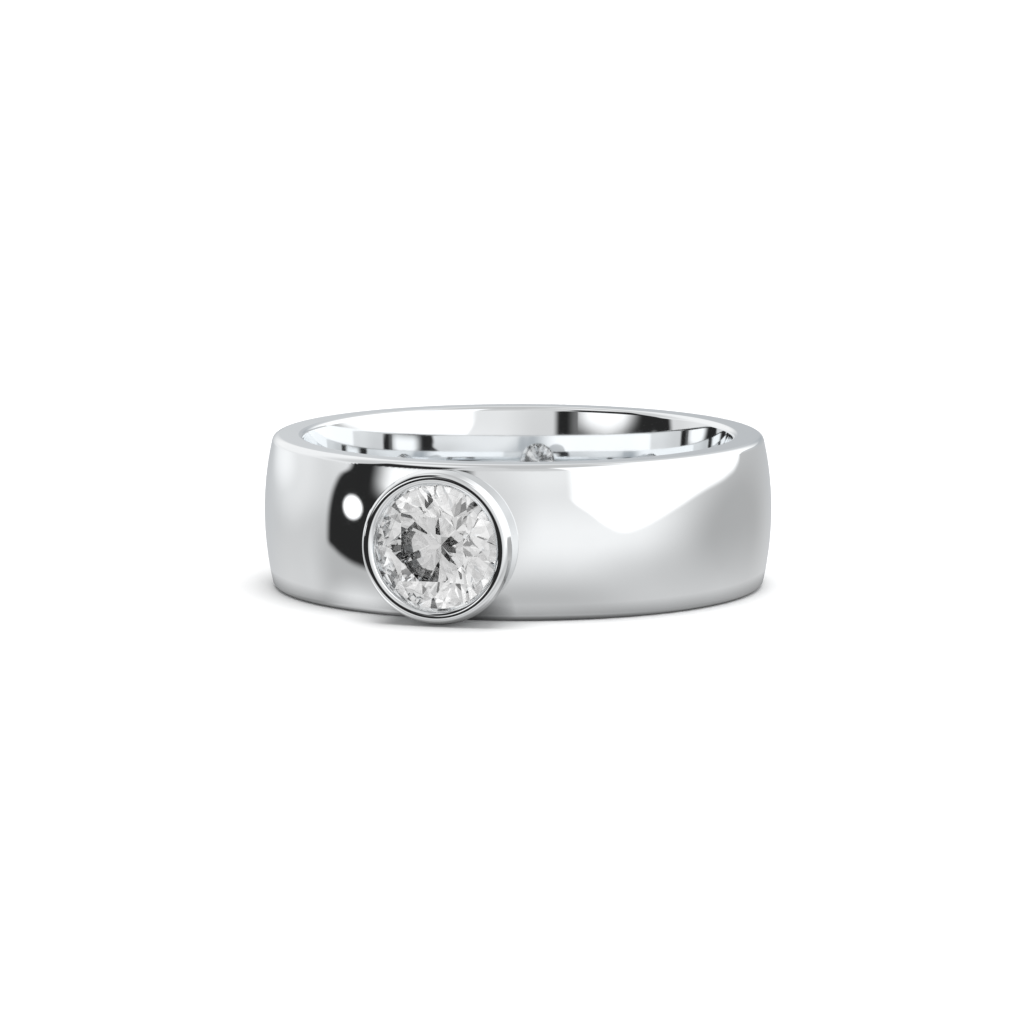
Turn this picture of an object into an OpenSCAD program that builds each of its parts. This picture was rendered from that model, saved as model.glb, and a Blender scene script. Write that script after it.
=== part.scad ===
// Bezel set ring, lying on its side: a domed comfort-fit band with one round
// brilliant held in a full round bezel. The finger hole runs along Z, the ring
// rests on the rim at z = 0, and the stone faces -Y.

/* [Band] */
// Inside diameter of the band at mid width, a US size 6 finger
finger_d = 16.5; // [15:0.1:19]
// Width of the band along the finger
band_w = 6; // [5.95:0.05:7]
// Thickness of the band at mid width
band_t = 1.75; // [1.5:0.05:2.2]
// Radius of the low dome across the outside
dome_r = 12.7; // [9:0.1:20]
// Radius of the comfort curve across the inside
comfort_r = 19; // [14:0.5:40]
// Rounding of the two outer edges
outer_edge_r = 0.31; // [0.2:0.01:0.4]
// Rounding of the two inner edges
inner_edge_r = 0.22; // [0.1:0.01:0.3]

/* [Bezel] */
// Diameter across the bezel at its widest, below the lip
bezel_d = 5.92; // [5.88:0.01:5.94]
// Height of the lip's crest above the crown of the band
bezel_rise = 1.5; // [1.4:0.01:1.6]
// Diameter of the lip's crest, a circle about the bezel's axis
crest_d = 5.3; // [5.24:0.01:5.34]
// Radius of the low dome along the crest
lip_dome_r = 0.45; // [0.3:0.01:0.6]
// Radius of the lip's two shoulders, beside the dome
shoulder_r = 0.215; // [0.19:0.005:0.22]
// Tilt at which the dome passes into the shoulders, in degrees
shoulder_tilt = 8.5; // [6:0.5:12]
// Lean of the flank between the outer shoulder and the widest place, in degrees
flank_lean = 15; // [12:0.5:20]
// Diameter of the opening over the stone's crown
opening_d = 4.7; // [4.66:0.01:4.76]
// Depth of the stone's crown at the opening, below the lip's crest
lip_depth = 0.415; // [0.4:0.005:0.66]
// Lean of the bezel's wall, in degrees: it narrows towards the band
wall_lean = 7.1; // [0:0.1:8]
// Diameter of the open back behind the stone
back_hole_d = 4; // [3.4:0.1:4.2]

/* [Stone] */
// Diameter of the round brilliant, about half a carat
stone_d = 5.1; // [5.05:0.01:5.15]
// Table width across its corners, as a share of the stone's diameter
table_share = 0.52; // [0.5:0.01:0.62]
// Girdle thickness where it is thickest, as a share of the diameter
girdle_share = 0.022; // [0.02:0.001:0.04]
// Angle of the eight crown mains
crown_angle = 34.5; // [33:0.1:36]
// Angle of the eight pavilion mains
pavilion_angle = 39.7; // [39:0.1:42]
// How far the stars reach from the table's edge towards the girdle
star_reach = 0.475; // [0.45:0.005:0.6]
// How far the lower halves reach from the girdle towards the culet
lower_half_reach = 0.81; // [0.7:0.01:0.85]
// Turn of the stone in its seat, in degrees
stone_turn = 22.5; // [0:0.5:45]
// Clearance all round between the stone and its seat
seat_gap = 0.03; // [0.02:0.01:0.05]

/* [Hidden] */
$fn = 180;

metal_colour = [0.86, 0.87, 0.88];
stone_colour = [0.92, 0.95, 1.0];

half_w = band_w / 2;
finger_r = finger_d / 2;
crown_r = finger_r + band_t;

// Centres of the four edge roundings, each touching its curved face and its rim
outer_edge_z = half_w - outer_edge_r;
outer_edge_x = crown_r - dome_r + sqrt(pow(dome_r - outer_edge_r, 2) - pow(outer_edge_z, 2));
inner_edge_z = half_w - inner_edge_r;
inner_edge_x = finger_r + comfort_r - sqrt(pow(comfort_r - inner_edge_r, 2) - pow(inner_edge_z, 2));

// Heights along the bezel's axis are counted from the axis of the finger hole
crest_h = crown_r + bezel_rise;
opening_r = opening_d / 2;
lip_foot_h = crest_h - lip_depth;
root_h = finger_r + 0.43 * band_t;

// A point of the lip's dome or shoulders, by how far its face is tilted from
// facing straight out: below 0 towards the stone, above 0 away from it
function on_lip(tilt) =
    let (on_dome = min(abs(tilt), shoulder_tilt), over = abs(tilt))
    [
        crest_d / 2 + sign(tilt) * (lip_dome_r * sin(on_dome) + shoulder_r * (sin(over) - sin(on_dome))),
        crest_h - lip_dome_r * (1 - cos(on_dome)) - shoulder_r * (cos(on_dome) - cos(over))
    ];

// The flank starts at the outer shoulder and ends in a belly as round as that,
// whose face turns from the flank's tilt to the wall's
flank_tilt = 90 - flank_lean;
wall_tilt = 90 + wall_lean;
belly_middle_r = bezel_d / 2 - shoulder_r;
flank_reach = belly_middle_r + shoulder_r * sin(flank_tilt) - on_lip(flank_tilt)[0];
belly_middle_h = on_lip(flank_tilt)[1] - flank_reach / tan(flank_lean) - shoulder_r * cos(flank_tilt);
function on_belly(tilt) = [belly_middle_r, belly_middle_h] + shoulder_r * [sin(tilt), cos(tilt)];
lip_steps = 10;
dome_steps = 4;
belly_steps = 3;
root_r = on_belly(wall_tilt)[0] - (on_belly(wall_tilt)[1] - root_h) * tan(wall_lean);

// Stone heights are counted from the girdle's top
stone_r = stone_d / 2;
table_r = table_share * stone_r;
table_h = (stone_r - table_r) * tan(crown_angle);
girdle_t = girdle_share * stone_d;
culet_h = -girdle_t - stone_r * tan(pavilion_angle);
main_step = 45;
half_step = main_step / 2;
girdle_cuts = 4;
star_tip_r = table_r * cos(half_step) * (1 - star_reach) + stone_r * star_reach;
star_tip_h = table_h - (star_tip_r * cos(half_step) - table_r) * tan(crown_angle);
lower_tip_r = stone_r * (1 - lower_half_reach);
lower_tip_h = -girdle_t - (stone_r - lower_tip_r * cos(half_step)) * tan(pavilion_angle);

// Height of a half facet at a radius and an angle from its main: its plane goes
// through its tip and the two places where it meets the girdle, half a step
// apart, and falls away from the chord between them
function half_facet_h(r, turn, tip_r, tip_h, rim_h) =
    let (middle = half_step / 2, chord_r = stone_r * cos(middle), tip_reach = tip_r * cos(middle))
    rim_h + (tip_h - rim_h) * (r * cos(turn - middle) - chord_r) / (tip_reach - chord_r);

// The girdle's top lies so that the crown clears the lip's foot by the seat gap
crown_at_lip_h = half_facet_h(opening_r, half_step, star_tip_r, star_tip_h, 0);
girdle_top_h = lip_foot_h - crown_at_lip_h - seat_gap / cos(crown_angle);
girdle_low_h = girdle_top_h - girdle_t;
seat_r = stone_r + seat_gap;

// The bearing follows the pavilion down to a narrow ledge round the open back
back_hole_r = back_hole_d / 2;
ledge_w = 0.06;
ledge_r = back_hole_r + ledge_w;
pavilion_at_hole_h = half_facet_h(back_hole_r, half_step, lower_tip_r, lower_tip_h, -girdle_t);
ledge_h = girdle_top_h + pavilion_at_hole_h - seat_gap / cos(pavilion_angle);

// Cutters run past what they cut by this much
past = 0.5;
// An edge's rounding reaches this much over its two faces, so that it crosses them
rounding_over = 0.002;

// A point at an angle and distance from another one
function spoke(from, angle, reach) = from + reach * [cos(angle), sin(angle)];

// What a rounding takes off a corner: the wedge between its two spokes, one
// towards the rim and one towards the curved face about middle_x, less its disc
module corner_cut(x, z, r, middle_x) {
    face_angle = atan2(z, x - middle_x);
    rim_angle = 90;
    difference() {
        polygon([
            [x, z],
            spoke([x, z], face_angle, past),
            spoke([x, z], (face_angle + rim_angle) / 2, sqrt(2) * past),
            spoke([x, z], rim_angle, past)
        ]);
        translate([x, z])
            circle(r = r + rounding_over);
    }
}

module corner_cuts() {
    corner_cut(outer_edge_x, outer_edge_z, outer_edge_r, crown_r - dome_r);
    corner_cut(inner_edge_x, inner_edge_z, inner_edge_r, finger_r + comfort_r);
}

module band_section() {
    difference() {
        intersection() {
            translate([crown_r - dome_r, 0])
                circle(r = dome_r);
            translate([finger_r + comfort_r, 0])
                circle(r = comfort_r);
            translate([finger_r - past, -half_w])
                square([band_t + 2 * past, band_w]);
        }
        corner_cuts();
        mirror([0, 1])
            corner_cuts();
    }
}

module band() {
    translate([0, 0, half_w])
        rotate_extrude()
            band_section();
}

// Puts what is drawn about +Z on the bezel's axis, at mid width and facing -Y
module on_bezel_axis() {
    translate([0, 0, half_w])
        rotate([90, 0, 0])
            children();
}

module bezel_section() {
    belly = [for (i = [0:belly_steps]) on_belly(wall_tilt + (flank_tilt - wall_tilt) * i / belly_steps)];
    outer = [for (i = [0:lip_steps]) on_lip(flank_tilt + (shoulder_tilt - flank_tilt) * i / lip_steps)];
    dome = [for (i = [1:dome_steps - 1]) on_lip(shoulder_tilt * (1 - 2 * i / dome_steps))];
    inner = [for (i = [0:lip_steps]) on_lip(-shoulder_tilt + (shoulder_tilt - 90) * i / lip_steps)];
    polygon(concat(
        [[0, root_h], [root_r, root_h]],
        belly,
        outer,
        dome,
        inner,
        [
            [opening_r, lip_foot_h],
            [seat_r, girdle_top_h + seat_gap],
            [seat_r, girdle_low_h - seat_gap],
            [ledge_r, ledge_h],
            [0, ledge_h]
        ]
    ));
}

module bezel() {
    on_bezel_axis()
        rotate_extrude()
            bezel_section();
}

module back_hole() {
    on_bezel_axis()
        translate([0, 0, finger_r - 2 * past])
            cylinder(r = back_hole_r, h = ledge_h - finger_r + 3 * past);
}

module band_and_bezel() {
    color(metal_colour)
        difference() {
            union() {
                band();
                bezel();
            }
            back_hole();
        }
}

// A point at an angle and radius from the stone's axis
function at(angle, r, h) = [r * cos(angle), r * sin(angle), h];

// The girdle's edge along one half facet, from a main to the next tip's angle
function edge_h(step, tip_r, tip_h, rim_h) =
    half_facet_h(stone_r, (step % girdle_cuts) * half_step / girdle_cuts, tip_r, tip_h, rim_h);

module brilliant() {
    mains = 360 / main_step;
    around = 2 * mains * girdle_cuts;
    girdle_step = 360 / around;
    points = concat(
        [for (i = [0:mains - 1]) at(i * main_step, table_r, table_h)],
        [for (i = [0:mains - 1]) at(i * main_step + half_step, star_tip_r, star_tip_h)],
        [for (i = [0:around - 1]) at(i * girdle_step, stone_r, edge_h(i, star_tip_r, star_tip_h, 0))],
        [for (i = [0:around - 1])
            at(i * girdle_step, stone_r, edge_h(i, lower_tip_r, lower_tip_h, -girdle_t))],
        [for (i = [0:mains - 1]) at(i * main_step + half_step, lower_tip_r, lower_tip_h)],
        [[0, 0, culet_h]]
    );
    stars = mains;
    upper = 2 * mains;
    lower = upper + around;
    tips = lower + around;
    culet = tips + mains;
    cuts = girdle_cuts;
    table = [for (i = [mains - 1:-1:0]) i];
    star_facets = [for (i = [0:mains - 1]) [i, (i + 1) % mains, stars + i]];
    crown_mains = [for (i = [0:mains - 1])
        [i, stars + i, upper + 2 * cuts * i, stars + (i + mains - 1) % mains]];
    upper_halves = [for (i = [0:mains - 1]) for (side = [0, 1])
        concat([stars + i], [for (k = [cuts:-1:0]) upper + (2 * cuts * i + side * cuts + k) % around])];
    girdle = [for (i = [0:around - 1]) let (j = (i + 1) % around)
        [upper + i, upper + j, lower + j, lower + i]];
    lower_halves = [for (i = [0:mains - 1]) for (side = [0, 1])
        concat([tips + i], [for (k = [0:cuts]) lower + (2 * cuts * i + side * cuts + k) % around])];
    pavilion_mains = [for (i = [0:mains - 1])
        [culet, tips + (i + mains - 1) % mains, lower + 2 * cuts * i, tips + i]];
    polyhedron(
        points = points,
        faces = concat([table], star_facets, crown_mains, upper_halves, girdle, lower_halves, pavilion_mains)
    );
}

module stone() {
    color(stone_colour)
        on_bezel_axis()
            translate([0, 0, girdle_top_h])
                rotate([0, 0, stone_turn])
                    brilliant();
}

band_and_bezel();
stone();
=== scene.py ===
"""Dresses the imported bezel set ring: the polished metal and the cut stone are worked out again as fine
surfaces over the frame, and stand in a plain white studio."""

import math

import bpy
import numpy as np
from bpy.props import FloatProperty, FloatVectorProperty, IntProperty, PointerProperty
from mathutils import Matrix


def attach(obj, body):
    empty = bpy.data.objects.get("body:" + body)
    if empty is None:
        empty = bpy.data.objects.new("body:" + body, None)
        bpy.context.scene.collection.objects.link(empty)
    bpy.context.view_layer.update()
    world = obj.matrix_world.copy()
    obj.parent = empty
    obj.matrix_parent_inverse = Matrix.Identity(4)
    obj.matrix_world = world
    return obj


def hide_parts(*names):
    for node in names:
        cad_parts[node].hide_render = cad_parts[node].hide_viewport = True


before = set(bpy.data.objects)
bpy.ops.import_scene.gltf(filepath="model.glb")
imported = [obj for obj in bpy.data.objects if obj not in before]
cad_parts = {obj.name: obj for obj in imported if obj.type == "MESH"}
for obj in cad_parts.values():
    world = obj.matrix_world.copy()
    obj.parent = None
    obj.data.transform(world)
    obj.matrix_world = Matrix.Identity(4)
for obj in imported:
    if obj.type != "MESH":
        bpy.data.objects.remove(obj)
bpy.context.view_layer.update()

bl_info = {
    "name": "Bezel Set Ring",
    "version": (1, 0, 0),
    "blender": (4, 5, 0),
    "location": "View3D > Sidebar > Ring",
    "description": "A polished band with a round brilliant in a bezel, in a white studio",
    "category": "Add Mesh",
}

BODY = "root"
METAL_NODE = "band_and_bezel"
STONE_NODE = "stone"
# Points of neighbouring grids that are this close, in metres, are one point
WELD = 2e-8
# A brilliant is cut in eighths: 8 mains, and twice as many halves
MAINS = 8
MAIN_STEP = math.tau / MAINS
HALF_STEP = MAIN_STEP / 2
# Steps along half a face of the band's section: over its arc, round its edge and over its half of the rim
SECTION_STEPS = (24, 14, 4)
# The patch of the band about the bezel reaches this far to either side. It has this many steps across and
# points outwards, and the points crowd towards the bezel by this power
PATCH_AZIMUTH = math.radians(35)
PATCH_STEPS = 76
PATCH_POINTS = 27
PATCH_CROWDING = 1.3
# Rounds in which the seam between the wall and the band settles, and points round the rest of the band
SEAM_ROUNDS, REST_POINTS = 30, 233
# Points along the lip's belly, outer shoulder, dome and inner shoulder
BELLY_POINTS, OUTER_POINTS, DOME_POINTS, INNER_POINTS = 9, 14, 9, 16
# Steps along the bezel's other pieces, and along each straight piece inside the cup
SOLDER_STEPS, WALL_STEPS, HOLE_STEPS, BREAK_STEPS = 6, 8, 4, 5
CUP_STEPS = (2, 2, 2, 5, 1)
# What full haze adds to the roughness of the metal and of the stone
METAL_HAZE, STONE_HAZE = 0.02, 0.004
# The white behind the ring is strong enough to show as pure white
WHITE_STRENGTH = 1.2
# Within this distance, in metres, a painted contact shadow (an ambient occlusion colour, not a cast shadow)
# darkens the floor that the ring reflects
PAINTED_SHADOW_REACH = 0.00125


def length_property(name, description, default, precision=5):
    """A length in metres that the user may change."""
    return FloatProperty(
        name=name, description=description, default=default, unit="LENGTH", precision=precision
    )


def angle_property(name, description, degrees):
    """An angle that the user may change, given here in degrees."""
    default = math.radians(degrees)
    return FloatProperty(
        name=name, description=description, default=default, subtype="ANGLE", unit="ROTATION"
    )


def percent_property(name, description, default):
    """A share in percent that the user may change."""
    return FloatProperty(name=name, description=description, default=default, subtype="PERCENTAGE")


def colour_property(name, description, default):
    """A colour that the user may change."""
    return FloatVectorProperty(
        name=name, description=description, default=default, size=3, subtype="COLOR"
    )


class BandSizes(bpy.types.PropertyGroup):
    """Sizes of the band"""

    finger_d: length_property("Finger diameter", "Inside diameter at mid width", 0.0165)
    width: length_property("Width", "Width along the finger", 0.006)
    thickness: length_property("Thickness", "Thickness at mid width", 0.00175)
    dome_r: length_property("Dome radius", "Radius of the low dome across the outside", 0.0127)
    comfort_r: length_property("Comfort radius", "Radius of the curve across the inside", 0.019)
    outer_edge_r: length_property("Outer edge radius", "Rounding of the two outer edges", 0.00031)
    inner_edge_r: length_property("Inner edge radius", "Rounding of the two inner edges", 0.00022)


class BezelSizes(bpy.types.PropertyGroup):
    """Sizes of the bezel"""

    diameter: length_property("Diameter", "Diameter across the widest place", 0.00592)
    rise: length_property("Rise", "Height of the lip's crest above the band's crown", 0.0015)
    crest_d: length_property("Crest diameter", "Diameter of the lip's crest", 0.0053)
    dome_r: length_property("Lip dome radius", "Radius of the low dome along the crest", 0.00045)
    shoulder_r: length_property("Shoulder radius", "Radius of the lip's two shoulders", 0.000215, 6)
    shoulder_tilt: angle_property("Shoulder tilt", "Tilt at which the dome passes into the shoulders", 8.5)
    flank_lean: angle_property(
        "Flank lean", "Lean of the flank between the outer shoulder and the widest place", 15
    )
    opening_d: length_property("Opening", "Diameter of the opening over the stone's crown", 0.0047)
    lip_depth: length_property(
        "Lip depth", "Depth of the stone's crown at the opening, below the lip's crest", 0.000415, 6
    )
    lean: angle_property("Wall lean", "How much the wall narrows towards the band", 7.1)
    back_hole_d: length_property("Back hole", "Diameter of the open back behind the stone", 0.004)
    ledge: length_property("Ledge", "Width of the ledge round the open back", 0.00006)
    fillet: length_property(
        "Solder fillet", "How far the solder reaches over the band and up the wall", 0.000015
    )
    edge_break: length_property("Edge break", "How far the open back's inner edge is broken", 0.00008)


class StoneSizes(bpy.types.PropertyGroup):
    """Cut of the stone"""

    diameter: length_property("Diameter", "Diameter of the brilliant", 0.0051)
    table: percent_property("Table", "Table width across its corners, as a share of the diameter", 52)
    girdle: percent_property(
        "Girdle", "Thickness of the girdle where it is thickest, as a share of the diameter", 2.2
    )
    crown_angle: angle_property("Crown angle", "Angle of the crown mains", 34.5)
    pavilion_angle: angle_property("Pavilion angle", "Angle of the pavilion mains", 39.7)
    star_reach: percent_property(
        "Star reach", "How far the stars reach from the table towards the girdle", 47.5
    )
    lower_reach: percent_property(
        "Lower half reach", "How far the lower halves reach from the girdle towards the culet", 81
    )
    turn: angle_property("Turn", "Turn of the stone in its seat", 22.5)
    seat_gap: length_property("Seat gap", "Clearance between the stone and its seat", 0.00003)
    girdle_cuts: IntProperty(
        name="Girdle cuts", description="Flats of the girdle under each half facet", default=6, min=1
    )


class Finish(bpy.types.PropertyGroup):
    """Colours and polish"""

    metal: colour_property("Metal", "Colour of the rhodium plate", (0.905, 0.922, 0.934))
    metal_shade: colour_property(
        "Metal shade", "Colour of the plate where it is thinner", (0.885, 0.902, 0.914)
    )
    metal_roughness: percent_property("Metal roughness", "Roughness of the polish", 3)
    cut_metal: colour_property("Cut metal", "Colour of the seat, which is left as cut", (0.5, 0.5, 0.5))
    cut_roughness: percent_property("Cut roughness", "Roughness of the seat", 45)
    stone: colour_property("Stone", "Body colour of the stone", (1.0, 1.0, 1.0))
    stone_ior: FloatProperty(
        name="Stone index", description="How strongly the stone bends light", default=2.418, subtype="FACTOR"
    )


class StageSettings(bpy.types.PropertyGroup):
    """Floor, studio and camera"""

    camera_place: FloatVectorProperty(
        name="Camera place",
        description="Where the camera stands",
        default=(0.068028, -0.236549, 0.037415),
        size=3,
        subtype="TRANSLATION",
        unit="LENGTH",
        precision=5,
    )
    camera_turn: angle_property("Camera turn", "Turn of the camera about the ring", 16.1)
    camera_pitch: angle_property("Camera pitch", "How far down the camera looks", 7.9928)
    lens: FloatProperty(
        name="Lens", description="Focal length", default=221.15, subtype="DISTANCE_CAMERA"
    )
    floor_r: length_property("Floor radius", "Radius of the round floor", 3.0, 2)
    floor_light: FloatProperty(
        name="Floor light",
        description="Strength of the soft light from above that falls on the floor",
        default=3.4,
    )
    floor_light_size: angle_property("Floor light's size", "Angle across the soft light over the floor", 46)


class RingSettings(bpy.types.PropertyGroup):
    """Everything a user may change"""

    band: PointerProperty(type=BandSizes, name="Band", description="Sizes of the band")
    bezel: PointerProperty(type=BezelSizes, name="Bezel", description="Sizes of the bezel")
    stone: PointerProperty(type=StoneSizes, name="Stone", description="Cut of the stone")
    finish: PointerProperty(type=Finish, name="Finish", description="Colours and polish")
    stage: PointerProperty(type=StageSettings, name="Stage", description="Floor, studio and camera")


class LongFace:
    """One long face of the band's section, from the middle of one rim to the middle of the other: an arc,
    a rounded edge at each end, and half of each flat rim. Side is 1 for the outside, -1 for the inside."""

    def __init__(self, side, crest_r, curve_r, edge_r, half_w):
        self.side, self.curve_r, self.edge_r, self.half_w = side, curve_r, edge_r, half_w
        self.centre_r = crest_r - side * curve_r
        self.edge_z = half_w - edge_r
        # The edge's circle touches the arc from within, so their centres are the difference of radii apart
        self.edge_centre_r = self.centre_r + side * math.sqrt((curve_r - edge_r) ** 2 - self.edge_z**2)
        self.turn = math.asin(self.edge_z / (curve_r - edge_r))
        self.arc = curve_r * self.turn
        self.bend = self.arc + edge_r * (math.pi / 2 - self.turn)

    def meet(self, rim_middle_r):
        """Ends the face at the middle of the rim."""
        self.reach = self.bend + abs(self.edge_centre_r - rim_middle_r)

    def at(self, s):
        """Radius, height and normal at a distance s along the face from its crest. On the arc the normal
        turns by s over the arc's radius, on the edge by the rest over the edge's radius, and on the rim
        it stays upright; the point is the circle's centre plus its radius times the normal."""
        a, up = np.abs(s), np.sign(s)
        on_arc = a <= self.arc
        angle = np.where(on_arc, a / self.curve_r, self.turn + (a - self.arc) / self.edge_r)
        angle = np.minimum(angle, math.pi / 2)
        out, along = self.side * np.cos(angle), np.sin(angle)
        over_rim = self.side * np.maximum(a - self.bend, 0.0)
        on_edge = self.edge_centre_r + self.edge_r * out - over_rim
        r = np.where(on_arc, self.centre_r + self.curve_r * out, on_edge)
        z = np.where(on_arc, self.curve_r * along, self.edge_z + self.edge_r * along)
        return r, up * z, out, up * along

    def at_height(self, z):
        """Radius of the face and distance along it at a height. The radius is the circle's centre plus the
        root of its radius squared less the height's square, and the distance is the circle's radius
        times the angle whose sine is the height over that radius."""
        a = np.abs(z)
        on_arc = a <= self.curve_r * math.sin(self.turn)
        on_edge = np.clip(a - self.edge_z, 0.0, self.edge_r)
        arc_r = self.centre_r + self.side * np.sqrt(self.curve_r**2 - a**2)
        edge_r = self.edge_centre_r + self.side * np.sqrt(self.edge_r**2 - on_edge**2)
        edge_s = self.arc + self.edge_r * (np.arcsin(on_edge / self.edge_r) - self.turn)
        s = np.where(on_arc, self.curve_r * np.arcsin(a / self.curve_r), edge_s)
        return np.where(on_arc, arc_r, edge_r), np.sign(z) * s

    def steps(self):
        """Distances from one end to the other, close together round the edges."""
        ends = (0.0, self.arc, self.bend, self.reach)
        parts = [np.linspace(a, b, n + 1)[1:] for a, b, n in zip(ends, ends[1:], SECTION_STEPS)]
        half = np.concatenate([[0.0], *parts])
        return np.concatenate([-half[:0:-1], half])


def round_finger(face, azimuth, s):
    """Points and normals of a face carried round the finger hole: azimuth 0 is the stone's side, -Y, and
    it grows towards +X. The frame's heights start at the lower rim."""
    s, azimuth = np.broadcast_arrays(s, azimuth)
    r, z, out, up = face.at(s)
    sine, cosine = np.sin(azimuth), np.cos(azimuth)
    points = np.stack([r * sine, -r * cosine, z + face.half_w], -1)
    normals = np.stack([out * sine, -out * cosine, up], -1)
    return points, normals


def round_bezel(r, h, around, half_w):
    """Points at a radius r from the bezel's axis and a height h from the finger's axis, towards -Y, turned
    by an angle that grows from +X to +Z."""
    return np.stack([r * np.cos(around), -h + 0 * around, half_w + r * np.sin(around)], -1)


def profile_strip(r, h, normal_r, normal_h, around, half_w):
    """Points and normals of a profile carried round the bezel's axis."""
    r, h, normal_r, normal_h, turn = np.broadcast_arrays(r, h, normal_r, normal_h, around)
    return round_bezel(r, h, turn, half_w), round_bezel(normal_r, normal_h, turn, 0.0)


def straight_leg(start, end, steps, around, half_w):
    """A straight piece of the bezel's profile between two (radius, height) pairs, of which each may change
    round the bezel. Its normal is its direction turned a quarter."""
    t = np.linspace(0, 1, steps + 1)[:, None]
    r = start[0] + (end[0] - start[0]) * t
    h = start[1] + (end[1] - start[1]) * t
    along_r, along_h = np.mean(end[0] - start[0]), np.mean(end[1] - start[1])
    length = math.hypot(along_r, along_h)
    return profile_strip(r, h, along_h / length, -along_r / length, around, half_w)


def blended_leg(start, corner, end, steps):
    """A rounding of a corner that changes round the bezel: a quadratic curve from start to end that is
    pulled to the corner. Its normals are the cross product of the ways round and along it."""
    t = np.linspace(0, 1, steps + 1)[:, None, None]
    points = (1 - t) ** 2 * start + 2 * t * (1 - t) * corner + t**2 * end
    along = 2 * (1 - t) * (corner - start) + 2 * t * (end - corner)
    ways_round = np.roll(points, -1, axis=1) - np.roll(points, 1, axis=1)
    normals = np.cross(ways_round, along)
    return points, normals / np.linalg.norm(normals, axis=-1, keepdims=True)


def grid_quads(rows, columns, ring):
    """Corners of the quads of a grid of points, whose columns close in a ring if ring is true."""
    index = np.arange(rows * columns).reshape(rows, columns)
    if ring:
        index = np.concatenate([index, index[:, :1]], axis=1)
    return np.stack([index[:-1, :-1], index[:-1, 1:], index[1:, 1:], index[1:, :-1]], -1).reshape(-1, 4)


def welded_mesh(name, strips):
    """One closed mesh from grids of points that share their borders. Each strip is points, normals, whether
    its columns close in a ring, and 1 if it is left as cut or 0 if it is polished, which its faces keep as
    the attribute as_cut. Corners keep their own strip's normals, so that a ridge between two strips stays
    crisp."""
    quads, normals, points, as_cut, start = [], [], [], [], 0
    for grid_points, grid_normals, ring, cut in strips:
        rows, columns = grid_points.shape[:2]
        corners = grid_quads(rows, columns, ring)
        quads.append(corners + start)
        normals.append(grid_normals.reshape(-1, 3)[corners].reshape(-1, 3))
        points.append(grid_points.reshape(-1, 3))
        as_cut.append(np.full(len(corners), cut))
        start += rows * columns
    quads, normals, points, as_cut = (np.concatenate(part) for part in (quads, normals, points, as_cut))
    keys = np.round(points / WELD).astype(np.int64)
    first, merged = np.unique(keys, axis=0, return_index=True, return_inverse=True)[1:]
    faces = merged.reshape(-1)[quads]
    mesh = bpy.data.meshes.new(name)
    mesh.from_pydata(points[first], [], faces)
    check_closed(name, faces)
    mesh.shade_smooth()
    mesh.normals_split_custom_set(normals)
    mesh.attributes.new("as_cut", "FLOAT", "FACE").data.foreach_set("value", as_cut)
    return mesh


def check_closed(name, faces):
    """Stops the script if an edge of the mesh is used by one face alone, or twice the same way."""
    ends = np.stack([faces, np.roll(faces, -1, axis=1)], -1).reshape(-1, 2)
    count = faces.max() + 1
    ways, uses = np.unique(ends[:, 0] * count + ends[:, 1], return_counts=True)
    back = np.isin(ends[:, 1] * count + ends[:, 0], ways)
    if uses.max() > 1 or not back.all():
        open_edges, doubled = int((~back).sum()), int((uses > 1).sum())
        raise RuntimeError(f"{name} isn't closed: {open_edges} open and {doubled} doubled edges")


def show(mesh, material, node):
    """Puts a finished mesh in the scene in place of its CAD node."""
    piece = bpy.data.objects.new(mesh.name, mesh)
    bpy.context.scene.collection.objects.link(piece)
    mesh.materials.append(material)
    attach(piece, BODY)
    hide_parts(node)


class StoneCut:
    """Heights and radii of the brilliant, counted from the girdle's top and the stone's axis."""

    def __init__(self, sizes):
        self.r = sizes.diameter / 2
        self.table_r = sizes.table / 100 * self.r
        crown_slope = math.tan(sizes.crown_angle)
        self.table_h = (self.r - self.table_r) * crown_slope
        self.girdle_t = sizes.girdle / 100 * sizes.diameter
        self.culet_h = -self.girdle_t - self.r * math.tan(sizes.pavilion_angle)
        star = sizes.star_reach / 100
        self.star_tip_r = self.table_r * math.cos(HALF_STEP) * (1 - star) + self.r * star
        self.star_tip_h = self.table_h - (self.star_tip_r * math.cos(HALF_STEP) - self.table_r) * crown_slope
        self.lower_tip_r = self.r * (1 - sizes.lower_reach / 100)
        lower_reach = self.r - self.lower_tip_r * math.cos(HALF_STEP)
        self.lower_tip_h = -self.girdle_t - lower_reach * math.tan(sizes.pavilion_angle)

    def half_facet_h(self, r, turn, tip_r, tip_h, rim_h):
        """Height of a half facet at a radius and at an angle from its main: its plane goes through its tip
        and the two places where it meets the girdle, and falls away evenly from the chord between them."""
        middle = HALF_STEP / 2
        chord_r = self.r * math.cos(middle)
        share = (r * np.cos(turn - middle) - chord_r) / (tip_r * math.cos(middle) - chord_r)
        return rim_h + (tip_h - rim_h) * share

    def crown_h(self, r, turn):
        """Height of the upper half facets."""
        return self.half_facet_h(r, turn, self.star_tip_r, self.star_tip_h, 0.0)

    def pavilion_h(self, r, turn):
        """Height of the lower half facets."""
        return self.half_facet_h(r, turn, self.lower_tip_r, self.lower_tip_h, -self.girdle_t)


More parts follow.
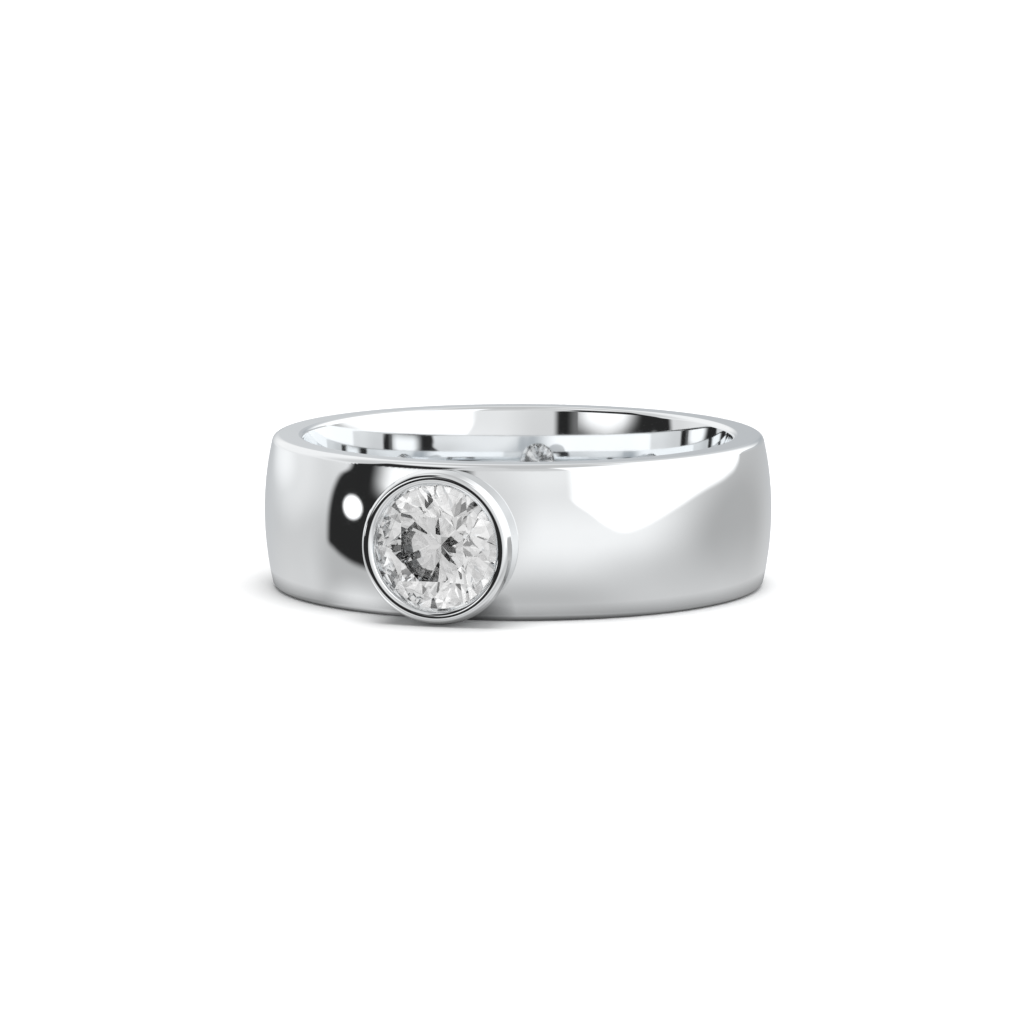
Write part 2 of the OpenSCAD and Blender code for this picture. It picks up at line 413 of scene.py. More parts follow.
class Seat:
    """Where the lip, the seat and the stone lie along the bezel's axis, counted from the finger's axis."""

    def __init__(self, ring):
        band, bezel, cut = ring.band, ring.bezel, StoneCut(ring.stone)
        gap = ring.stone.seat_gap
        self.half_w = band.width / 2
        self.crest_h = band.finger_d / 2 + band.thickness + bezel.rise
        self.opening_r = bezel.opening_d / 2
        self.lip_foot_h = self.crest_h - bezel.lip_depth
        crown_at_lip = float(cut.crown_h(self.opening_r, HALF_STEP))
        self.girdle_top_h = self.lip_foot_h - crown_at_lip - gap / math.cos(ring.stone.crown_angle)
        self.girdle_low_h = self.girdle_top_h - cut.girdle_t
        self.seat_r = cut.r + gap
        self.hole_r = bezel.back_hole_d / 2
        self.ledge_r = self.hole_r + bezel.ledge
        pavilion_at_hole = float(cut.pavilion_h(self.hole_r, HALF_STEP))
        self.ledge_h = self.girdle_top_h + pavilion_at_hole - gap / math.cos(ring.stone.pavilion_angle)
        self.gap = gap
        self.lip_r, self.lip_h, self.lip_tilt = self.lip_profile(bezel)

    def lip_profile(self, bezel):
        """Radii, heights and tilts of the lip's section, from the wall over the crest to the inner side. Its
        face turns from the wall's tilt to facing the axis in round pieces that touch each other: the
        belly at the widest place, the outer shoulder, the dome and the inner shoulder. A round piece moves
        by its radius times the change of the tilt's sine and cosine, and the straight flank lies between
        the belly and the outer shoulder."""

        def on_lip(tilt):
            over, side = np.abs(tilt), np.sign(tilt)
            on_dome = np.minimum(over, bezel.shoulder_tilt)
            out = bezel.dome_r * np.sin(on_dome) + bezel.shoulder_r * (np.sin(over) - np.sin(on_dome))
            down = bezel.dome_r * (1 - np.cos(on_dome)) + bezel.shoulder_r * (np.cos(on_dome) - np.cos(over))
            return bezel.crest_d / 2 + side * out, self.crest_h - down

        flank_tilt, wall_tilt = math.pi / 2 - bezel.flank_lean, math.pi / 2 + bezel.lean
        flank_r, flank_h = on_lip(flank_tilt)
        belly_middle_r = bezel.diameter / 2 - bezel.shoulder_r
        flank_reach = belly_middle_r + bezel.shoulder_r * math.sin(flank_tilt) - flank_r
        flank_fall = flank_reach / math.tan(bezel.flank_lean)
        belly_middle_h = flank_h - flank_fall - bezel.shoulder_r * math.cos(flank_tilt)
        belly_tilt = np.linspace(wall_tilt, flank_tilt, BELLY_POINTS)
        lip_tilt = np.concatenate(
            [
                np.linspace(flank_tilt, bezel.shoulder_tilt, OUTER_POINTS),
                np.linspace(bezel.shoulder_tilt, -bezel.shoulder_tilt, DOME_POINTS)[1:-1],
                np.linspace(-bezel.shoulder_tilt, -math.pi / 2, INNER_POINTS),
            ]
        )
        r, h = on_lip(lip_tilt)
        belly_r = belly_middle_r + bezel.shoulder_r * np.sin(belly_tilt)
        belly_h = belly_middle_h + bezel.shoulder_r * np.cos(belly_tilt)
        return np.append(belly_r, r), np.append(belly_h, h), np.append(belly_tilt, lip_tilt)

    def wall_r(self, h, lean):
        """Radius of the leaning wall at a height: a line from the belly's end that narrows towards the band
        by the tangent of its lean."""
        return self.lip_r[0] + (h - self.lip_h[0]) * math.tan(lean)


def metal_strips(ring):
    """The soldered metal as grids. Round the bezel one grid runs from the band's outside up the wall, over
    the lip, down the seat, out through the open back and on to the band's inside. The rest of the band
    is its closed section carried round the finger hole."""
    band, bezel, seat = ring.band, ring.bezel, Seat(ring)
    half_w, crown_r = seat.half_w, band.finger_d / 2 + band.thickness
    outside = LongFace(1, crown_r, band.dome_r, band.outer_edge_r, half_w)
    inside = LongFace(-1, band.finger_d / 2, band.comfort_r, band.inner_edge_r, half_w)
    rim_middle_r = (outside.edge_centre_r + inside.edge_centre_r) / 2
    outside.meet(rim_middle_r)
    inside.meet(rim_middle_r)
    outer_s, inner_s = outside.steps(), inside.steps()

    # The grid's columns leave a frame of the band about the bezel: right side, top, left side, bottom
    side = np.full(len(outer_s) - 1, PATCH_AZIMUTH)
    across = np.linspace(PATCH_AZIMUTH, -PATCH_AZIMUTH, PATCH_STEPS + 1)[:-1]
    frame_azimuth = np.concatenate([side, across, -side, -across])
    columns = len(frame_azimuth)
    around = (np.arange(columns) - len(side) / 2) * math.tau / columns

    def patch(face, s, start_r, start_h, margin):
        """The band's face between the frame and a curve round the bezel's axis, and short of the curve by a
        margin: straight ways in azimuth and distance."""
        top = np.full(PATCH_STEPS, face.reach)
        end_s = np.concatenate([s[:-1], top, s[:0:-1], -top])
        start_s = face.at_height(start_r * np.sin(around))[1]
        start_azimuth = np.arctan2(start_r * np.cos(around), start_h)
        start_t = margin / np.hypot((frame_azimuth - start_azimuth) * crown_r, end_s - start_s)
        t = start_t + (1 - start_t) * np.linspace(0, 1, PATCH_POINTS)[:, None] ** PATCH_CROWDING
        azimuth = start_azimuth + (frame_azimuth - start_azimuth) * t
        return round_finger(face, azimuth, start_s + (end_s - start_s) * t)

    def leg(start, end, steps):
        return straight_leg(start, end, steps, around, half_w)

    # Where the wall meets the band: its height is where its point is as far from the finger's axis as the
    # band's face is at that width
    seam_h = np.full(columns, crown_r)
    for _ in range(SEAM_ROUNDS):
        seam_r = seat.wall_r(seam_h, bezel.lean)
        face_r = outside.at_height(seam_r * np.sin(around))[0]
        seam_h = np.sqrt(face_r**2 - (seam_r * np.cos(around)) ** 2)
    seam_r = seat.wall_r(seam_h, bezel.lean)
    outer_patch = patch(outside, outer_s, seam_r, seam_h, bezel.fillet)
    foot_h = seam_h + bezel.fillet
    foot_r = seat.wall_r(foot_h, bezel.lean)
    seam = round_bezel(seam_r, seam_h, around, half_w)
    foot = round_bezel(foot_r, foot_h, around, half_w)
    solder = blended_leg(outer_patch[0][0], seam, foot, SOLDER_STEPS)

    # Wall and lip
    wall = leg((foot_r, foot_h), (seat.lip_r[0], seat.lip_h[0]), WALL_STEPS)
    tilt = seat.lip_tilt[:, None]
    lip = profile_strip(seat.lip_r[:, None], seat.lip_h[:, None], np.sin(tilt), np.cos(tilt), around, half_w)

    # Inside the cup, down to the open back
    corners = (
        (seat.lip_r[-1], seat.lip_h[-1]),
        (seat.opening_r, seat.lip_foot_h),
        (seat.seat_r, seat.girdle_top_h + seat.gap),
        (seat.seat_r, seat.girdle_low_h - seat.gap),
        (seat.ledge_r, seat.ledge_h),
        (seat.hole_r, seat.ledge_h),
    )
    cup = [leg(start, end, steps) for start, end, steps in zip(corners, corners[1:], CUP_STEPS)]

    # The open back meets the band's inside where its point is as far from the finger's axis as that face
    face_r = inside.at_height(seat.hole_r * np.sin(around))[0]
    back_h = np.sqrt(face_r**2 - (seat.hole_r * np.cos(around)) ** 2)
    inner_patch = patch(inside, inner_s, seat.hole_r, back_h, bezel.edge_break)
    hole = leg((seat.hole_r, seat.ledge_h), (seat.hole_r, back_h + bezel.edge_break), HOLE_STEPS)
    corner = round_bezel(seat.hole_r, back_h, around, half_w)
    broken = blended_leg(hole[0][-1], corner, inner_patch[0][0], BREAK_STEPS)

    # The lip's inner side is polished, and the seat under it is left as the burr cut it
    polished_front = [(outer_patch[0][::-1], outer_patch[1][::-1]), solder, wall, lip, cup[0]]
    polished_back = [hole, broken, inner_patch]
    strips = [
        (points, normals, True, cut)
        for cut, rings in ((0.0, polished_front), (1.0, cup[1:]), (0.0, polished_back))
        for points, normals in rings
    ]
    # The rest of the band: its section is closed, up the outside and down the inside
    azimuth = np.linspace(PATCH_AZIMUTH, math.tau - PATCH_AZIMUTH, REST_POINTS)
    for face, s in ((outside, outer_s), (inside, inner_s[::-1])):
        strips.append((*round_finger(face, azimuth, s[:, None]), False, 0.0))
    return strips


def stone_shape(ring):
    """Corners and facets of the round brilliant: a table, 8 stars, 8 crown mains, 16 upper halves, the
    girdle's flats, 16 lower halves and 8 pavilion mains, which end in the culet. Each main facet's corners
    lie in its plane, whose height falls evenly with the reach along its middle."""
    cut, seat, cuts = StoneCut(ring.stone), Seat(ring), ring.stone.girdle_cuts
    main_turn = np.arange(MAINS) * MAIN_STEP
    tip_turn = main_turn + HALF_STEP
    flats = 2 * MAINS * cuts
    flat = np.arange(flats)
    rim_turn = flat * math.tau / flats
    within = (flat % cuts) * HALF_STEP / cuts
    turn = np.concatenate([main_turn, tip_turn, rim_turn, rim_turn, tip_turn, [0.0]])
    radii = [cut.table_r, cut.star_tip_r, cut.r, cut.lower_tip_r, 0.0]
    r = np.repeat(radii, [MAINS, MAINS, 2 * flats, MAINS, 1])
    top = np.repeat([cut.table_h, cut.star_tip_h], MAINS)
    rims = (cut.crown_h(cut.r, within), cut.pavilion_h(cut.r, within))
    h = np.concatenate([top, *rims, np.full(MAINS, cut.lower_tip_h), [cut.culet_h]])
    points = round_bezel(r, h + seat.girdle_top_h, turn + ring.stone.turn, seat.half_w)

    i = np.arange(MAINS)
    before, after = (i - 1) % MAINS, (i + 1) % MAINS
    stars = MAINS
    upper = 2 * MAINS
    lower = upper + flats
    tips = lower + flats
    culet = np.full(MAINS, tips + MAINS)
    half = np.arange(2 * MAINS)
    run = (half[:, None] * cuts + np.arange(cuts + 1)[None, :]) % flats
    next_flat = (flat + 1) % flats
    facets = [i[::-1].tolist()]
    facets += np.stack([i, after, stars + i], -1).tolist()
    facets += np.stack([i, stars + i, upper + 2 * cuts * i, stars + before], -1).tolist()
    facets += np.column_stack([stars + half // 2, upper + run[:, ::-1]]).tolist()
    facets += np.stack([upper + flat, upper + next_flat, lower + next_flat, lower + flat], -1).tolist()
    facets += np.column_stack([tips + half // 2, lower + run]).tolist()
    facets += np.stack([culet, tips + before, lower + 2 * cuts * i, tips + i], -1).tolist()
    # Seen from outside the corners of these lists run clockwise
    return points, [facet[::-1] for facet in facets]


def feed(tree, made, inputs):
    """Gives inputs of a node what they take, each a value or another node's output."""
    for name, value in dict(inputs).items():
        if isinstance(value, bpy.types.NodeSocket):
            tree.links.new(value, made.inputs[name])
        else:
            made.inputs[name].default_value = value


def node(tree, kind, place, settings=(), inputs=()):
    """A node at a place, with its settings and what its inputs take."""
    made = tree.nodes.new(kind)
    made.location = place
    for name, value in dict(settings).items():
        setattr(made, name, value)
    feed(tree, made, inputs)
    return made


def sum_of(tree, operation, place, *values):
    """What a Math node makes of one to three values."""
    return node(tree, "ShaderNodeMath", place, {"operation": operation}, enumerate(values)).outputs[0]


def stretch(tree, place, value, low, high, bottom=0.0, top=1.0, shape="LINEAR"):
    """Carries a value from the range between low and high over to the one between bottom and top, along a
    straight line or a smooth step. Outside of its range it stays at the end."""
    inputs = {"Value": value, "From Min": low, "From Max": high, "To Min": bottom, "To Max": top}
    return node(tree, "ShaderNodeMapRange", place, {"interpolation_type": shape}, inputs).outputs[0]


def blend(tree, place, factor, first, second):
    """The first colour at factor 0, the second at factor 1, and their even mixture in between."""
    inputs = {"Factor": factor, "A": first, "B": second}
    return node(tree, "ShaderNodeMix", place, {"data_type": "RGBA"}, inputs).outputs["Result"]


def noise(tree, place, **inputs):
    """Smooth noise, with what the inputs of its node take."""
    return node(tree, "ShaderNodeTexNoise", place, inputs=inputs).outputs[0]


def by_viewer(tree, place, other_rays, camera_rays):
    """One shader for the camera and another for all other rays."""
    seen_by = node(tree, "ShaderNodeLightPath", (place[0] - 400, place[1] + 300))
    inputs = {0: seen_by.outputs["Is Camera Ray"], 1: other_rays, 2: camera_rays}
    return node(tree, "ShaderNodeMixShader", place, inputs=inputs).outputs[0]


def new_group(name, inputs, outputs):
    """An empty shader node group. Its sockets are numbers, but for the one named Vector."""
    group = bpy.data.node_groups.new(name, "ShaderNodeTree")
    for title in inputs:
        kind = "NodeSocketVector" if title == "Vector" else "NodeSocketFloat"
        group.interface.new_socket(name=title, in_out="INPUT", socket_type=kind)
    for title in outputs:
        group.interface.new_socket(name=title, in_out="OUTPUT", socket_type="NodeSocketFloat")
    entry = node(group, "NodeGroupInput", (-1200, 0))
    leave = node(group, "NodeGroupOutput", (900, 0))
    return group, entry.outputs, leave


def new_material(name):
    """A material with its node tree and its shader."""
    material = bpy.data.materials.new(name)
    material.use_nodes = True
    tree = material.node_tree
    return material, tree, tree.nodes["Principled BSDF"]


def fine_wear_group():
    """What handling leaves on a polished surface: Haze is a slow cloudiness from 0 to 1, and Height the
    depth of a few hairlines. Haze is smooth noise stretched in contrast; a hairline is where a second
    noise, drawn out along one way, crosses its middle value."""
    known = bpy.data.node_groups.get("Fine wear")
    if known:
        return known
    group, asked, leave = new_group("Fine wear", ("Vector", "Scale", "Hairlines"), ("Haze", "Height"))
    way, scale = asked["Vector"], asked["Scale"]
    cloud = noise(group, (-800, 200), Vector=way, Scale=scale, Detail=3.0, Roughness=0.55)
    haze = stretch(group, (-500, 200), cloud, 0.35, 0.7, shape="SMOOTHSTEP")
    drawing = {"Vector": way, "Scale": (0.25, 1.0, 3.0), "Rotation": (0.3, 0.5, 0.7)}
    drawn = node(group, "ShaderNodeMapping", (-1000, -200), inputs=drawing).outputs[0]
    fine = sum_of(group, "MULTIPLY", (-1000, -450), scale, 2.5)
    lines = noise(group, (-800, -200), Vector=drawn, Scale=fine, Detail=1.0, Distortion=0.2)
    off_middle = sum_of(group, "SUBTRACT", (-600, -200), lines, 0.5)
    distance = sum_of(group, "ABSOLUTE", (-400, -200), off_middle)
    line = stretch(group, (-200, -200), distance, 0.0, 0.006, -1.0, 0.0, "SMOOTHSTEP")
    depth = sum_of(group, "MULTIPLY", (100, -200), line, asked["Hairlines"])
    feed(group, leave, {"Haze": haze, "Height": depth})
    return group


def fine_wear(tree, scale, hairlines):
    """The fine wear on a surface, by the place on its object."""
    place = node(tree, "ShaderNodeTexCoord", (-1200, 0))
    inputs = {"Vector": place.outputs["Object"], "Scale": scale, "Hairlines": hairlines}
    return node(tree, "ShaderNodeGroup", (-900, 0), {"node_tree": fine_wear_group()}, inputs).outputs


def polished_metal(finish):
    """Rhodium plated white gold: a mirror whose polish and plate vary a little. Faces that are left as cut
    are darker and matt."""
    material, tree, shader = new_material("polished_white_gold")
    shader.inputs["Metallic"].default_value = 1.0
    wear = fine_wear(tree, 260.0, 0.6)
    as_cut = node(tree, "ShaderNodeAttribute", (-500, 450), {"attribute_name": "as_cut"}).outputs["Fac"]
    plate = blend(tree, (-500, 200), wear["Haze"], (*finish.metal, 1.0), (*finish.metal_shade, 1.0))
    colour = blend(tree, (-250, 200), as_cut, plate, (*finish.cut_metal, 1.0))
    polish = finish.metal_roughness / 100
    rough = stretch(tree, (-500, -50), wear["Haze"], 0.0, 1.0, polish, polish + METAL_HAZE)
    matt = stretch(tree, (-250, -50), as_cut, 0.0, 1.0, rough, finish.cut_roughness / 100)
    relief = {"Height": wear["Height"], "Strength": 0.02, "Distance": 0.000002}
    bump = node(tree, "ShaderNodeBump", (-300, -300), inputs=relief)
    feed(tree, shader, {"Base Color": colour, "Roughness": matt, "Normal": bump.outputs[0]})
    return material


def cut_stone(finish):
    """Colourless stone with a diamond's index, its polish all but perfect."""
    material, tree, shader = new_material("colourless_brilliant")
    shader.inputs["Base Color"].default_value = (*finish.stone, 1.0)
    shader.inputs["IOR"].default_value = finish.stone_ior
    shader.inputs["Transmission Weight"].default_value = 1.0
    wear = fine_wear(tree, 900.0, 0.2)
    rough = stretch(tree, (-500, -50), wear["Haze"], 0.0, 1.0, 0.0, STONE_HAZE)
    feed(tree, shader, {"Roughness": rough})
    return material


def soft_edge(group, place, value, softness):
    """1 well above 0 and 0 well below it, with a smooth step that is twice the softness wide."""
    x, y = place
    inner = sum_of(group, "MULTIPLY", (x, y - 180), softness, -1.0)
    return stretch(group, (x + 170, y), value, inner, softness, shape="SMOOTHSTEP")


def studio_glow_group():
    """A soft-edged oval hung round the ring, by the way to it in degrees: Mask is 1 on it. How far out a way
    lies is the length of its distances across and up, each over the oval's half axis; the mask falls
    smoothly over the softness on both sides of length 1."""
    names = ("Middle azimuth", "Middle elevation", "Half width", "Half height", "Softness")
    group, asked, leave = new_group("Studio glow", ("Azimuth", "Elevation", *names), ("Mask",))
    across = sum_of(group, "SUBTRACT", (-950, 200), asked["Azimuth"], asked["Middle azimuth"])
    across = sum_of(group, "WRAP", (-800, 200), across, 180.0, -180.0)
    level = sum_of(group, "SUBTRACT", (-950, -100), asked["Elevation"], asked["Middle elevation"])
    x = sum_of(group, "DIVIDE", (-600, 200), across, asked["Half width"])
    y = sum_of(group, "DIVIDE", (-600, -100), level, asked["Half height"])
    away = node(group, "ShaderNodeCombineXYZ", (-400, 0), inputs={"X": x, "Y": y})
    reach = node(group, "ShaderNodeVectorMath", (-200, 0), {"operation": "LENGTH"}, {0: away.outputs[0]})
    within = sum_of(group, "SUBTRACT", (0, 0), 1.0, reach.outputs["Value"])
    feed(group, leave, {"Mask": soft_edge(group, (200, 0), within, asked["Softness"])})
    return group


def studio_sheet_group():
    """A large sheet hung round the ring, by the way to it in degrees: Mask is 1 on it. It has a left and a
    right side and a lower and an upper edge, and the mask is the product of their smooth steps."""
    # Each edge as what is greater and what is less within it, and its softness
    edges = (
        ("Azimuth", "Left", "Left softness"),
        ("Right", "Azimuth", "Right softness"),
        ("Elevation", "Lower edge", "Edge softness"),
        ("Upper edge", "Elevation", "Upper softness"),
    )
    names = ("Azimuth", "Elevation", "Lower edge", "Edge softness", "Left", "Left softness")
    names += ("Right", "Right softness", "Upper edge", "Upper softness")
    group, asked, leave = new_group("Studio sheet", names, ("Mask",))
    mask = 1.0
    for row, (high, low, softness) in enumerate(edges):
        y = 400 - 350 * row
        within = sum_of(group, "SUBTRACT", (-600, y), asked[high], asked[low])
        step = soft_edge(group, (-400, y), within, asked[softness])
        mask = sum_of(group, "MULTIPLY", (100 + 150 * row, y), mask, step)
    feed(group, leave, {"Mask": mask})
    return group


def edge_curve(tree, place, along, span, rise, points):
    """Where a sheet's edge lies at an angle along it: a smooth curve through the given pairs of degrees,
    which stay within span along the edge and within rise across it."""
    x, y = place
    share = stretch(tree, place, along, -span, span)
    curve = node(tree, "ShaderNodeFloatCurve", (x + 170, y), inputs={"Value": share})
    marks = curve.mapping.curves[0].points
    spots = [((angle + span) / (2 * span), (edge + rise) / (2 * rise)) for angle, edge in points]
    marks[0].location = (0.0, spots[0][1])
    marks[1].location = (1.0, spots[-1][1])
    for spot in spots:
        marks.new(*spot)
    curve.mapping.update()
    return stretch(tree, (x + 430, y), curve.outputs[0], 0.0, 1.0, -rise, rise)


# Brightness of the studio by elevation in degrees, as it shows in the metal
STUDIO_LEVELS = (
    (-90, 0.42), (-65, 0.45), (-45, 0.88), (-32, 0.55), (-26, 0.49), (-20, 0.73), (-14, 0.915), (-8, 1.03),
    (-2, 0.99), (4, 0.905), (10, 0.82), (18, 0.97), (28, 0.64), (48, 0.70), (64, 0.56), (90, 0.58),
)

# Cards in the order in which they cover each other: a name, its brightness or colour, and its shape in
# degrees from the camera's side. A glow's shape is its middle's azimuth and elevation, its half width and
# height, and its softness as a share. A sheet's is its edge's softness, its left side and softness, its
# right side and softness, its upper edge and softness, and then the points of the edges that are curves:
# the lower edge by azimuth, the left side by elevation
STUDIO_CARDS = (
    ("left low", 0.66, (-124, -7, 68, 15.5, 0.83)),
    ("left bright", 0.85, (-127, 2.2, 23, 8.4, 0.46)),
    ("left gleam", 1.4, (-147, 1.4, 17, 3.9, 0.64)),
    ("left lower", 0.5, (-85.6, -18, 18.4, 13.6, 0.6)),
    ("left under", 1.06, (-88.5, -40, 26, 16.3, 0.38)),
    ("left top", 0.95, (-85, 68, 38, 14, 0.6)),
    ("back wall", (0.434, 0.46, 0.484), (180, 12, 42, 21.8, 0.74)),
    ("back left", 0.98, (-148.7, 27, 39, 26, 0.43)),
    ("back right", (0.515, 0.535, 0.555), (175, 5.4, 4.6, 17.8, 0.67)),
    ("front left", 0.724, (-13.9, 2.4, 15, 17.5, 0.78)),
    ("right low", 0.623, (70, -23.5, 26.5, 11.2, 0.92)),
    ("right wall", 0.45, (117, -9, 39.2, 16, 0.6)),
    ("right under", 0.745, (143, -27, 52, 11.4, 0.9)),
    (
        "right window",
        1.22,
        (0.85, 24.2, 2.5, 151, 17, 66, 8),
        {
            "Lower edge": (
                (15, 14.9), (24, 6.5), (32, 1.8), (40, -2.9), (48, -5.3), (56, -4.6), (66, -2.4), (78, 0.2),
                (92, 2.2), (112, 2.6), (120, 2.8), (126, 4), (130, 10.5), (134, 12.5), (140, 13), (147, 10.4),
            )
        },
    ),
    (
        "dark screen",
        0.023,
        (1.4, -95, 2.35, -20.9, 2.1, 54, 6),
        {
            "Lower edge": (
                (-105, -8.7), (-95, -11), (-88, -13.7), (-80, -16), (-65, -18), (-50, -16), (-20, -12),
            ),
            "Left": (
                (-14, -96.8), (-8, -95.9), (0, -94.2), (4, -92.4), (7, -89.9), (10, -84.5), (14, -85),
                (22, -82.5), (34, -80), (46, -85), (58, -96),
            ),
        },
    ),
    ("front top", 0.7, (-20, 45, 16, 28, 0.25)),
    (
        "left window",
        1.2,
        (3.5, -65.7, 7.2, -33.3, 8, 17.5, 5.5),
        {
            "Lower edge": (
                (-76, 7), (-69, 6.2), (-63, 5.2), (-57, 4.0), (-51, 3.3), (-45, 3.9), (-39, 5.1), (-35, 5.6),
                (-28, 5.6),
            )
        },
    ),
    ("dark strip", 0.02, (2, -33, 0.4, -24, 2, 24, 4), {"Lower edge": ((-60, -12), (0, -12))}),
    ("strip's glow", 0.17, (3, -33, 0.4, -29.5, 3, 20, 8), {"Lower edge": ((-60, 3), (0, 3))}),
    ("round lamp", 1.60, (-80.2, -0.3, 5.5, 3.2, 0.23)),
)


def studio_world(turn):
    """The room round the ring, which only its reflections show: the camera sees plain white. The way a ray
    leaves is turned to the camera's side and read as azimuth and elevation; the azimuth is the angle whose
    tangent is x over minus y, and the elevation the angle whose sine is z."""
    world = bpy.data.worlds.new("white_studio")
    world.use_nodes = True
    tree = world.node_tree
    tree.nodes.clear()
    way = node(tree, "ShaderNodeTexCoord", (-2600, 0))
    to_camera = {"Vector": way.outputs["Generated"], "Angle": -turn}
    turned = node(tree, "ShaderNodeVectorRotate", (-2400, 0), {"rotation_type": "Z_AXIS"}, to_camera)
    parts = node(tree, "ShaderNodeSeparateXYZ", (-2200, 0), inputs={0: turned.outputs[0]})
    away = sum_of(tree, "MULTIPLY", (-2000, 0), parts.outputs["Y"], -1.0)
    azimuth = sum_of(tree, "ARCTAN2", (-1850, 100), parts.outputs["X"], away)
    azimuth = sum_of(tree, "DEGREES", (-1700, 100), azimuth)
    elevation = sum_of(tree, "ARCSINE", (-1850, -100), parts.outputs["Z"])
    elevation = sum_of(tree, "DEGREES", (-1700, -100), elevation)

    share = stretch(tree, (-1500, -300), elevation, -90.0, 90.0)
    levels = node(tree, "ShaderNodeValToRGB", (-1300, -300), inputs={0: share})
    levels.color_ramp.interpolation = "B_SPLINE"
    marks = levels.color_ramp.elements
    while len(marks) < len(STUDIO_LEVELS):
        marks.new(0.5)
    for mark, (height, bright) in zip(marks, STUDIO_LEVELS):
        mark.position = (height + 90) / 180
        mark.color = (bright, bright, bright, 1.0)
    light = levels.outputs[0]
    glow_group, sheet_group = studio_glow_group(), studio_sheet_group()
    curves = {"Lower edge": (azimuth, 180.0, 90.0), "Left": (elevation, 90.0, 180.0)}
    for row, (title, bright, shape, *edges) in enumerate(STUDIO_CARDS):
        x = -1000 + 250 * row
        kind, first_slot = (sheet_group, 3) if edges else (glow_group, 2)
        inputs = {"Azimuth": azimuth, "Elevation": elevation, **dict(enumerate(shape, first_slot))}
        for line, (socket, points) in enumerate(edges[0].items() if edges else ()):
            inputs[socket] = edge_curve(tree, (x - 700, 500 + 350 * line), *curves[socket], points)
        card = node(tree, "ShaderNodeGroup", (x, 100), {"node_tree": kind, "label": title}, inputs)
        light = blend(tree, (x, -300), card.outputs[0], light, (*np.broadcast_to(bright, 3), 1.0))

    room = node(tree, "ShaderNodeBackground", (4400, -100), inputs={"Color": light})
    white = {"Color": (1.0, 1.0, 1.0, 1.0), "Strength": WHITE_STRENGTH}
    plain = node(tree, "ShaderNodeBackground", (4400, 100), inputs=white)
    surface = by_viewer(tree, (4600, 0), room.outputs[0], plain.outputs[0])
    node(tree, "ShaderNodeOutputWorld", (4800, 0), inputs={"Surface": surface})
    return world


def floor_paper():
    """Matt white paper with a faint grain. The camera sees the paper; the metal and the stone see the studio
    through it, darkened by a painted contact shadow, an ambient occlusion colour, where the ring is close."""
    material, tree, shader = new_material("white_paper")
    shader.inputs["Roughness"].default_value = 1.0
    shader.inputs["Specular IOR Level"].default_value = 0.0
    place = node(tree, "ShaderNodeTexCoord", (-900, 0))
    grain = noise(tree, (-700, 0), Vector=place.outputs["Object"], Scale=900.0, Detail=4.0)
    tint = blend(tree, (-400, 0), grain, (0.66, 0.665, 0.67, 1.0), (0.68, 0.68, 0.68, 1.0))
    feed(tree, shader, {"Base Color": tint})
    # Painted contact shadow: ambient occlusion tints the see-through paper darker near the ring, for all but
    # camera rays
    painted_shadow_settings = {"Distance": PAINTED_SHADOW_REACH}
    painted_contact_shadow = node(tree, "ShaderNodeAmbientOcclusion", (-400, -300), {"samples": 8}, painted_shadow_settings)
    painted_shadow_colour = {"Color": painted_contact_shadow.outputs["Color"]}
    studio_through_painted_shadow = node(tree, "ShaderNodeBsdfTransparent", (-100, -300), inputs=painted_shadow_colour)
    surface = by_viewer(tree, (400, 0), studio_through_painted_shadow.outputs[0], shader.outputs[0])
    feed(tree, tree.nodes["Material Output"], {"Surface": surface})
    return material


def round_floor(radius):
    """A flat disc at height 0: rings of points at growing radii about a small middle polygon."""
    columns, rows, middle = 96, 8, 0.02
    turn = np.arange(columns) * math.tau / columns
    reach = radius * np.linspace(1.0, middle, rows)[:, None]
    points = np.stack([reach * np.cos(turn), reach * np.sin(turn), 0.0 * reach * turn], -1).reshape(-1, 3)
    quads = grid_quads(rows, columns, True)
    inmost = range((rows - 1) * columns, rows * columns)
    mesh = bpy.data.meshes.new("floor")
    mesh.from_pydata(points, [], [*quads.tolist(), list(inmost)])
    return mesh


class RING_OT_band_and_bezel(bpy.types.Operator):
    """Adds the soldered band and bezel in polished metal"""

    bl_idname = "ring.band_and_bezel"
    bl_label = "Band and Bezel"

    def execute(self, context):
        ring = context.scene.bezel_ring
        mesh = welded_mesh("polished_band_and_bezel", metal_strips(ring))
        show(mesh, polished_metal(ring.finish), METAL_NODE)
        return {"FINISHED"}


class RING_OT_stone(bpy.types.Operator):
    """Adds the round brilliant"""

    bl_idname = "ring.stone"
    bl_label = "Stone"

    def execute(self, context):
        ring = context.scene.bezel_ring
        points, facets = stone_shape(ring)
        mesh = bpy.data.meshes.new("round_brilliant")
        mesh.from_pydata(points, [], facets)
        show(mesh, cut_stone(ring.finish), STONE_NODE)
        return {"FINISHED"}


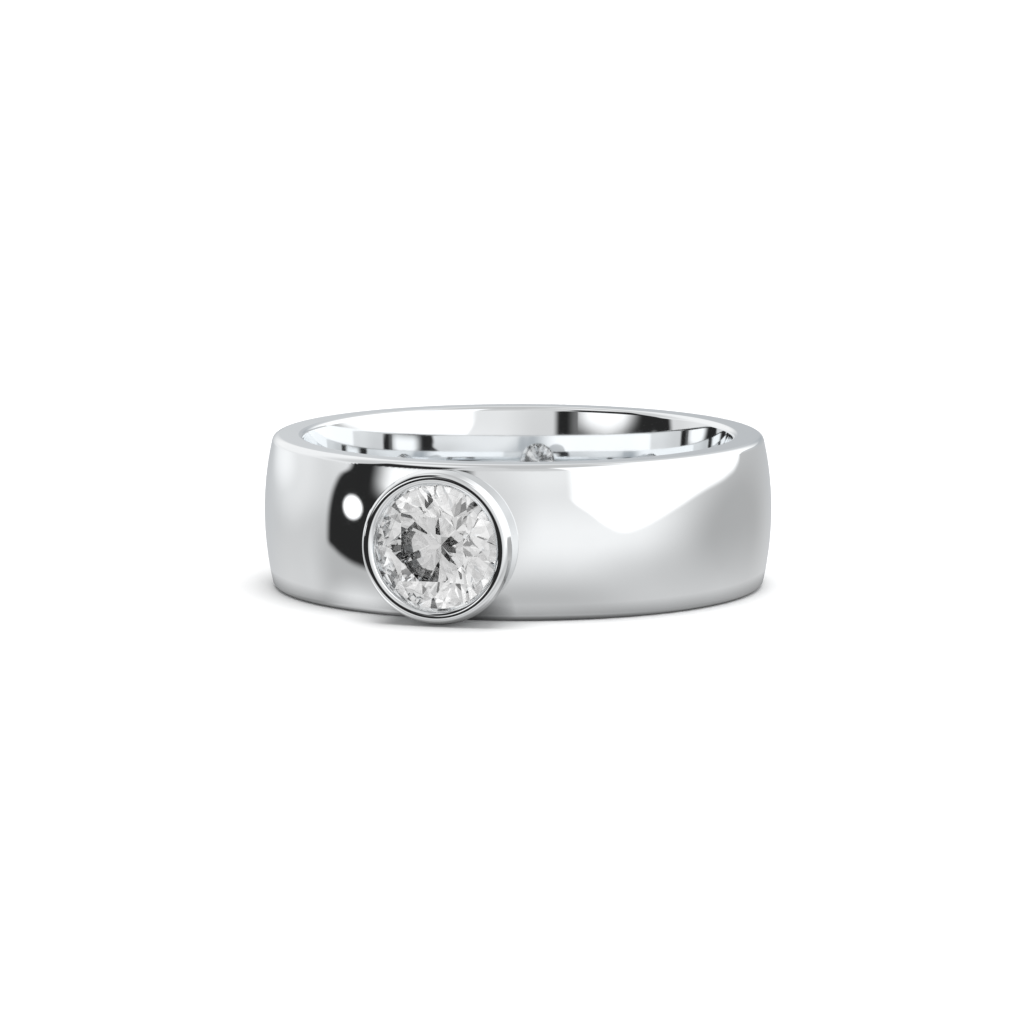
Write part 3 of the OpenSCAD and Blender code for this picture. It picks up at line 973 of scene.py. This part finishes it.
class RING_OT_stage(bpy.types.Operator):
    """Adds the floor, the studio's light and the camera"""

    bl_idname = "ring.stage"
    bl_label = "Stage"

    def execute(self, context):
        scene, stage = context.scene, context.scene.bezel_ring.stage
        floor = bpy.data.objects.new("floor", round_floor(stage.floor_r))
        scene.collection.objects.link(floor)
        floor.data.materials.append(floor_paper())

        scene.world = studio_world(stage.camera_turn)
        lamp = bpy.data.lights.new("floor_light", "SUN")
        lamp.angle = stage.floor_light_size
        lamp.energy = stage.floor_light
        overhead = bpy.data.objects.new("floor_light", lamp)
        overhead.location = (0.0, 0.0, 0.5)
        overhead.visible_camera = False
        overhead.visible_glossy = False
        overhead.visible_transmission = False
        scene.collection.objects.link(overhead)

        lens = bpy.data.cameras.new("camera")
        lens.lens = stage.lens
        lens.sensor_width = 36.0
        lens.clip_start = 0.01
        lens.clip_end = 20.0
        camera = bpy.data.objects.new("camera", lens)
        camera.location = stage.camera_place
        camera.rotation_euler = (math.pi / 2 - stage.camera_pitch, 0.0, stage.camera_turn)
        scene.collection.objects.link(camera)
        scene.camera = camera

        scene.view_settings.view_transform = "Standard"
        # The mirror throws the studio's light on to the paper, but the stone doesn't
        scene.cycles.caustics_reflective = True
        scene.cycles.caustics_refractive = False
        scene.cycles.max_bounces = 32
        scene.cycles.glossy_bounces = 16
        scene.cycles.transmission_bounces = 32
        return {"FINISHED"}


class RING_PT_panel(bpy.types.Panel):
    """Lists the ring's pieces and their sizes"""

    bl_idname = "RING_PT_panel"
    bl_label = "Bezel Set Ring"
    bl_space_type = "VIEW_3D"
    bl_region_type = "UI"
    bl_category = "Ring"

    def draw(self, context):
        ring = context.scene.bezel_ring
        for title, settings, operator in (
            ("Band", ring.band, RING_OT_band_and_bezel),
            ("Bezel", ring.bezel, None),
            ("Stone", ring.stone, RING_OT_stone),
            ("Finish", ring.finish, None),
            ("Stage", ring.stage, RING_OT_stage),
        ):
            box = self.layout.box()
            box.label(text=title)
            for name in settings.__annotations__:
                box.prop(settings, name)
            if operator:
                box.operator(operator.bl_idname)


SETTINGS = (BandSizes, BezelSizes, StoneSizes, Finish, StageSettings, RingSettings)
CLASSES = (*SETTINGS, RING_OT_band_and_bezel, RING_OT_stone, RING_OT_stage, RING_PT_panel)


def register():
    for made in CLASSES:
        bpy.utils.register_class(made)
    bpy.types.Scene.bezel_ring = PointerProperty(
        type=RingSettings, name="Bezel set ring", description="Sizes, colours and stage of the ring"
    )


def unregister():
    del bpy.types.Scene.bezel_ring
    for made in reversed(CLASSES):
        bpy.utils.unregister_class(made)


def main():
    register()
    bpy.ops.ring.band_and_bezel()
    bpy.ops.ring.stone()
    bpy.ops.ring.stage()


if __name__ == "__main__":
    main()
